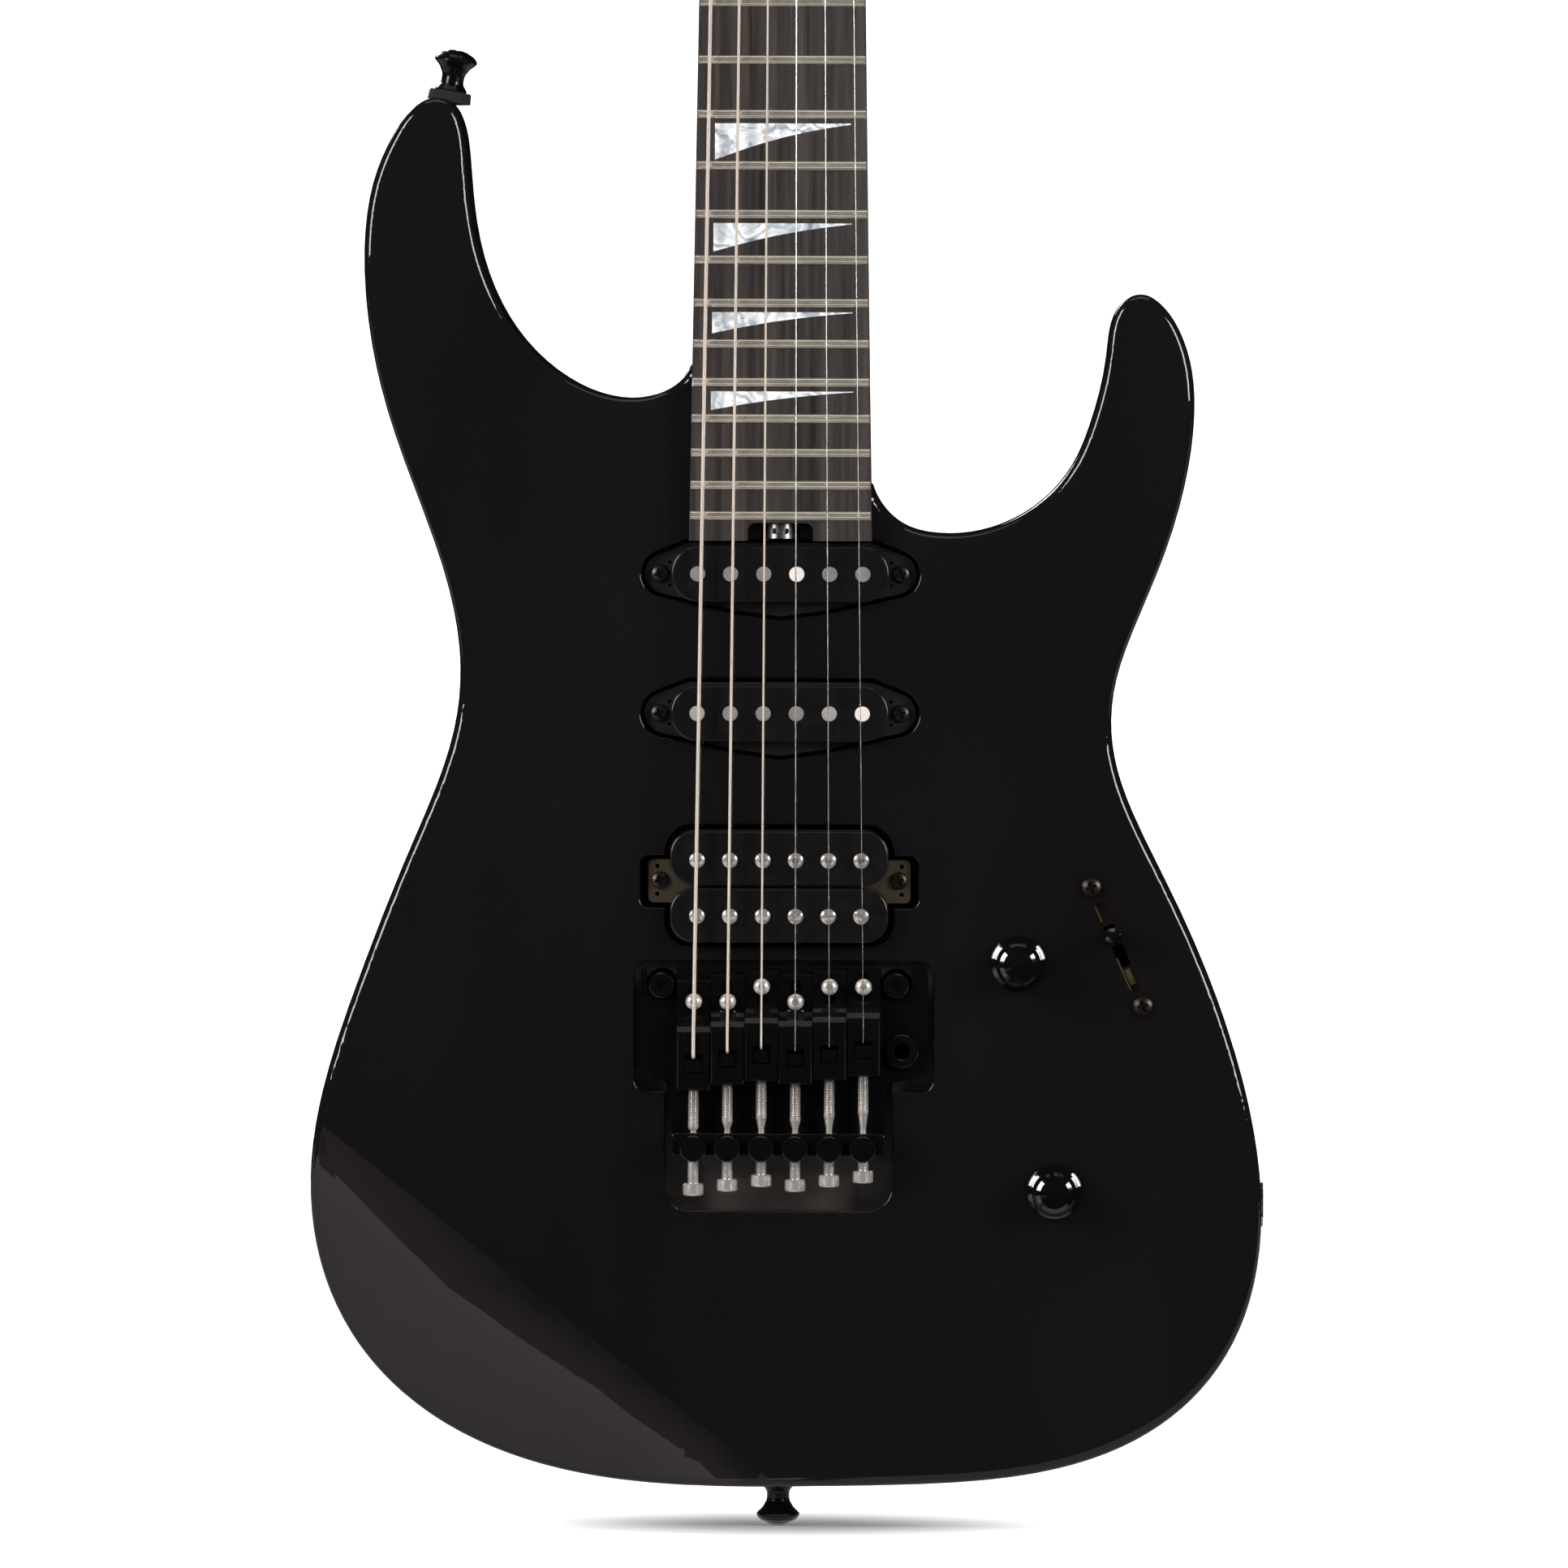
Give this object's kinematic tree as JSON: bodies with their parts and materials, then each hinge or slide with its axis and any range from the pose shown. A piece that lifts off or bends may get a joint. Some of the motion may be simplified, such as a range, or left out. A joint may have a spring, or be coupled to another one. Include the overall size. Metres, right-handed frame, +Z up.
{
  "type": "electric guitar",
  "caption": "Solid-body electric guitar with a neck-through core, double cutaway, two narrow pickups and a wide one, and a floating locking tremolo bridge",
  "frame": {"origin": "centre of the end strap button post, on the mid-thickness plane of the body", "axes": "+Z runs up the neck, the front of the body faces -Y, +X is the treble side"},
  "size_m": [0.3013, 0.0742, 0.9965],
  "materials": {
    "lacquered_wood": "gloss black lacquer",
    "ebony": "oiled open grain",
    "fret_wire": "polished nickel silver",
    "pearl": "pearlescent",
    "steel": "plain",
    "wheel_steel": "machined",
    "black_plated_steel": "black plating, satin",
    "intonation_steel": "turned",
    "block_brass": "machined",
    "pickup_black": "satin moulded",
    "coil_wire": "enamelled winding",
    "flatwork": "pressed fibre",
    "pole_steel": "turned",
    "knob_black": "polished",
    "switch_metal": "plated",
    "cover_plastic": "satin",
    "string_wire": "wound and plain wire",
    "felt": "wool felt"
  },
  "bodies": {
    "body": {"body_wing_bass": "lacquered_wood", "body_wing_treble": "lacquered_wood", "control_cover": "cover_plastic", "cover_screws": "black_plated_steel", "fingerboard": "ebony", "frets": "fret_wire", "front_screws": "black_plated_steel", "humbucker_bobbins": "pickup_black", "locking_nut_base": "black_plated_steel", "neck_core": "lacquered_wood", "nut_clamp_blocks": "black_plated_steel", "output_jack": "switch_metal", "pickup_baseplates": "flatwork", "pickup_coils": "coil_wire", "pickup_poles": "pole_steel", "pivot_posts": "black_plated_steel", "position_markers": "pearl", "potentiometers": "switch_metal", "selector_switch": "switch_metal", "single_coil_covers": "pickup_black", "spring_claw": "steel", "spring_cover": "cover_plastic", "strap_button_felt": "felt", "strap_buttons": "black_plated_steel", "string_retainer": "black_plated_steel", "strings": "string_wire", "tremolo_springs": "steel", "truss_rod": "steel", "tuner_housings": "black_plated_steel"},
    "bridge": {"bridge_baseplate": "black_plated_steel", "sustain_block": "block_brass", "intonation_screws": "intonation_steel"},
    "saddle_1": {"saddle_1": "black_plated_steel"},
    "fine_tuner_1": {"fine_tuner_1": "black_plated_steel"},
    "tuner_post_1": {"tuner_post_1": "black_plated_steel"},
    "tuner_button_1": {"tuner_button_1": "black_plated_steel"},
    "saddle_2": {"saddle_2": "black_plated_steel"},
    "fine_tuner_2": {"fine_tuner_2": "black_plated_steel"},
    "tuner_post_2": {"tuner_post_2": "black_plated_steel"},
    "tuner_button_2": {"tuner_button_2": "black_plated_steel"},
    "saddle_3": {"saddle_3": "black_plated_steel"},
    "fine_tuner_3": {"fine_tuner_3": "black_plated_steel"},
    "tuner_post_3": {"tuner_post_3": "black_plated_steel"},
    "tuner_button_3": {"tuner_button_3": "black_plated_steel"},
    "saddle_4": {"saddle_4": "black_plated_steel"},
    "fine_tuner_4": {"fine_tuner_4": "black_plated_steel"},
    "tuner_post_4": {"tuner_post_4": "black_plated_steel"},
    "tuner_button_4": {"tuner_button_4": "black_plated_steel"},
    "saddle_5": {"saddle_5": "black_plated_steel"},
    "fine_tuner_5": {"fine_tuner_5": "black_plated_steel"},
    "tuner_post_5": {"tuner_post_5": "black_plated_steel"},
    "tuner_button_5": {"tuner_button_5": "black_plated_steel"},
    "saddle_6": {"saddle_6": "black_plated_steel"},
    "fine_tuner_6": {"fine_tuner_6": "black_plated_steel"},
    "tuner_post_6": {"tuner_post_6": "black_plated_steel"},
    "tuner_button_6": {"tuner_button_6": "black_plated_steel"},
    "volume_knob": {"volume_knob": "knob_black"},
    "tone_knob": {"tone_knob": "knob_black"},
    "selector_lever": {"selector_lever": "knob_black"},
    "truss_rod_wheel": {"truss_rod_wheel": "wheel_steel"}
  },
  "joints": [
    {"name": "tremolo", "type": "hinge", "parent": "body", "child": "bridge", "pos_m": [0, -0.0203, 0.1584], "axis": [1, 0, 0], "range_deg": [-12, 5], "deforming": ["strings", "tremolo_springs"]},
    {"name": "fine_tune_1", "type": "hinge", "parent": "bridge", "child": "fine_tuner_1", "pos_m": [-0.02675, -0.031, 0.1116], "axis": [0, 1, 0], "range_deg": [0, 540]},
    {"name": "saddle_rock_1", "type": "hinge", "parent": "bridge", "child": "saddle_1", "pos_m": [-0.02675, -0.0218, 0.1576], "axis": [1, 0, 0], "range_deg": [0, 1.2]},
    {"name": "tuner_turn_1", "type": "hinge", "parent": "body", "child": "tuner_button_1", "pos_m": [-0.01953, 0.00699, 0.84812], "axis": [-0.9617, 0.057, 0.2681], "continuous": true},
    {"name": "post_turn_1", "type": "hinge", "parent": "body", "child": "tuner_post_1", "pos_m": [-0.02123, -0.01293, 0.84626], "axis": [0, -0.9781, 0.2079], "continuous": true},
    {"name": "fine_tune_2", "type": "hinge", "parent": "bridge", "child": "fine_tuner_2", "pos_m": [-0.01605, -0.031, 0.1116], "axis": [0, 1, 0], "range_deg": [0, 540]},
    {"name": "saddle_rock_2", "type": "hinge", "parent": "bridge", "child": "saddle_2", "pos_m": [-0.01605, -0.0218, 0.1593], "axis": [1, 0, 0], "range_deg": [0, 1.2]},
    {"name": "tuner_turn_2", "type": "hinge", "parent": "body", "child": "tuner_button_2", "pos_m": [-0.01236, 0.01209, 0.87208], "axis": [-0.9617, 0.057, 0.2681], "continuous": true},
    {"name": "post_turn_2", "type": "hinge", "parent": "body", "child": "tuner_post_2", "pos_m": [-0.01406, -0.00784, 0.87022], "axis": [0, -0.9781, 0.2079], "continuous": true},
    {"name": "fine_tune_3", "type": "hinge", "parent": "bridge", "child": "fine_tuner_3", "pos_m": [-0.00535, -0.031, 0.1116], "axis": [0, 1, 0], "range_deg": [0, 540]},
    {"name": "saddle_rock_3", "type": "hinge", "parent": "bridge", "child": "saddle_3", "pos_m": [-0.00535, -0.0218, 0.1605], "axis": [1, 0, 0], "range_deg": [0, 1.2]},
    {"name": "tuner_turn_3", "type": "hinge", "parent": "body", "child": "tuner_button_3", "pos_m": [-0.00518, 0.01718, 0.89605], "axis": [-0.9617, 0.057, 0.2681], "continuous": true},
    {"name": "post_turn_3", "type": "hinge", "parent": "body", "child": "tuner_post_3", "pos_m": [-0.00688, -0.00274, 0.89419], "axis": [0, -0.9781, 0.2079], "continuous": true},
    {"name": "fine_tune_4", "type": "hinge", "parent": "bridge", "child": "fine_tuner_4", "pos_m": [0.00535, -0.031, 0.1116], "axis": [0, 1, 0], "range_deg": [0, 540]},
    {"name": "saddle_rock_4", "type": "hinge", "parent": "bridge", "child": "saddle_4", "pos_m": [0.00535, -0.0218, 0.1596], "axis": [1, 0, 0], "range_deg": [0, 1.2]},
    {"name": "tuner_turn_4", "type": "hinge", "parent": "body", "child": "tuner_button_4", "pos_m": [0.00198, 0.02227, 0.92001], "axis": [-0.9617, 0.057, 0.2681], "continuous": true},
    {"name": "post_turn_4", "type": "hinge", "parent": "body", "child": "tuner_post_4", "pos_m": [0.00028, 0.00235, 0.91815], "axis": [0, -0.9781, 0.2079], "continuous": true},
    {"name": "fine_tune_5", "type": "hinge", "parent": "bridge", "child": "fine_tuner_5", "pos_m": [0.01605, -0.031, 0.1116], "axis": [0, 1, 0], "range_deg": [0, 540]},
    {"name": "saddle_rock_5", "type": "hinge", "parent": "bridge", "child": "saddle_5", "pos_m": [0.01605, -0.0218, 0.1609], "axis": [1, 0, 0], "range_deg": [0, 1.2]},
    {"name": "tuner_turn_5", "type": "hinge", "parent": "body", "child": "tuner_button_5", "pos_m": [0.00907, 0.02737, 0.94398], "axis": [-0.9617, 0.057, 0.2681], "continuous": true},
    {"name": "post_turn_5", "type": "hinge", "parent": "body", "child": "tuner_post_5", "pos_m": [0.00737, 0.00744, 0.94212], "axis": [0, -0.9781, 0.2079], "continuous": true},
    {"name": "fine_tune_6", "type": "hinge", "parent": "bridge", "child": "fine_tuner_6", "pos_m": [0.02675, -0.031, 0.1116], "axis": [0, 1, 0], "range_deg": [0, 540]},
    {"name": "saddle_rock_6", "type": "hinge", "parent": "bridge", "child": "saddle_6", "pos_m": [0.02675, -0.0218, 0.1622], "axis": [1, 0, 0], "range_deg": [0, 1.2]},
    {"name": "tuner_turn_6", "type": "hinge", "parent": "body", "child": "tuner_button_6", "pos_m": [0.01616, 0.03246, 0.96794], "axis": [-0.9617, 0.057, 0.2681], "continuous": true},
    {"name": "post_turn_6", "type": "hinge", "parent": "body", "child": "tuner_post_6", "pos_m": [0.01446, 0.01254, 0.96608], "axis": [0, -0.9781, 0.2079], "continuous": true},
    {"name": "volume_turn", "type": "hinge", "parent": "body", "child": "volume_knob", "pos_m": [0.0755, -0.028, 0.17], "axis": [0, -1, 0], "range_deg": [-140, 140]},
    {"name": "tone_turn", "type": "hinge", "parent": "body", "child": "tone_knob", "pos_m": [0.0872, -0.028, 0.0979], "axis": [0, -1, 0], "range_deg": [-140, 140]},
    {"name": "selector", "type": "hinge", "parent": "body", "child": "selector_lever", "pos_m": [0.1067, 0.002, 0.1753], "axis": [0.9158, 0, 0.4016], "range_deg": [-7.3, 21.9]},
    {"name": "truss_adjust", "type": "hinge", "parent": "body", "child": "truss_rod_wheel", "pos_m": [0, -0.0172, 0.306], "axis": [0, 0, 1], "range_deg": [-180, 180]}
  ],
  "couplings": [
    {"joint": "saddle_rock_1", "follows": "fine_tune_1", "ratio": 0.002222},
    {"joint": "post_turn_1", "follows": "tuner_turn_1", "ratio": 0.0625},
    {"joint": "saddle_rock_2", "follows": "fine_tune_2", "ratio": 0.002222},
    {"joint": "post_turn_2", "follows": "tuner_turn_2", "ratio": 0.0625},
    {"joint": "saddle_rock_3", "follows": "fine_tune_3", "ratio": 0.002222},
    {"joint": "post_turn_3", "follows": "tuner_turn_3", "ratio": 0.0625},
    {"joint": "saddle_rock_4", "follows": "fine_tune_4", "ratio": 0.002222},
    {"joint": "post_turn_4", "follows": "tuner_turn_4", "ratio": 0.0625},
    {"joint": "saddle_rock_5", "follows": "fine_tune_5", "ratio": 0.002222},
    {"joint": "post_turn_5", "follows": "tuner_turn_5", "ratio": 0.0625},
    {"joint": "saddle_rock_6", "follows": "fine_tune_6", "ratio": 0.002222},
    {"joint": "post_turn_6", "follows": "tuner_turn_6", "ratio": 0.0625}
  ]
}
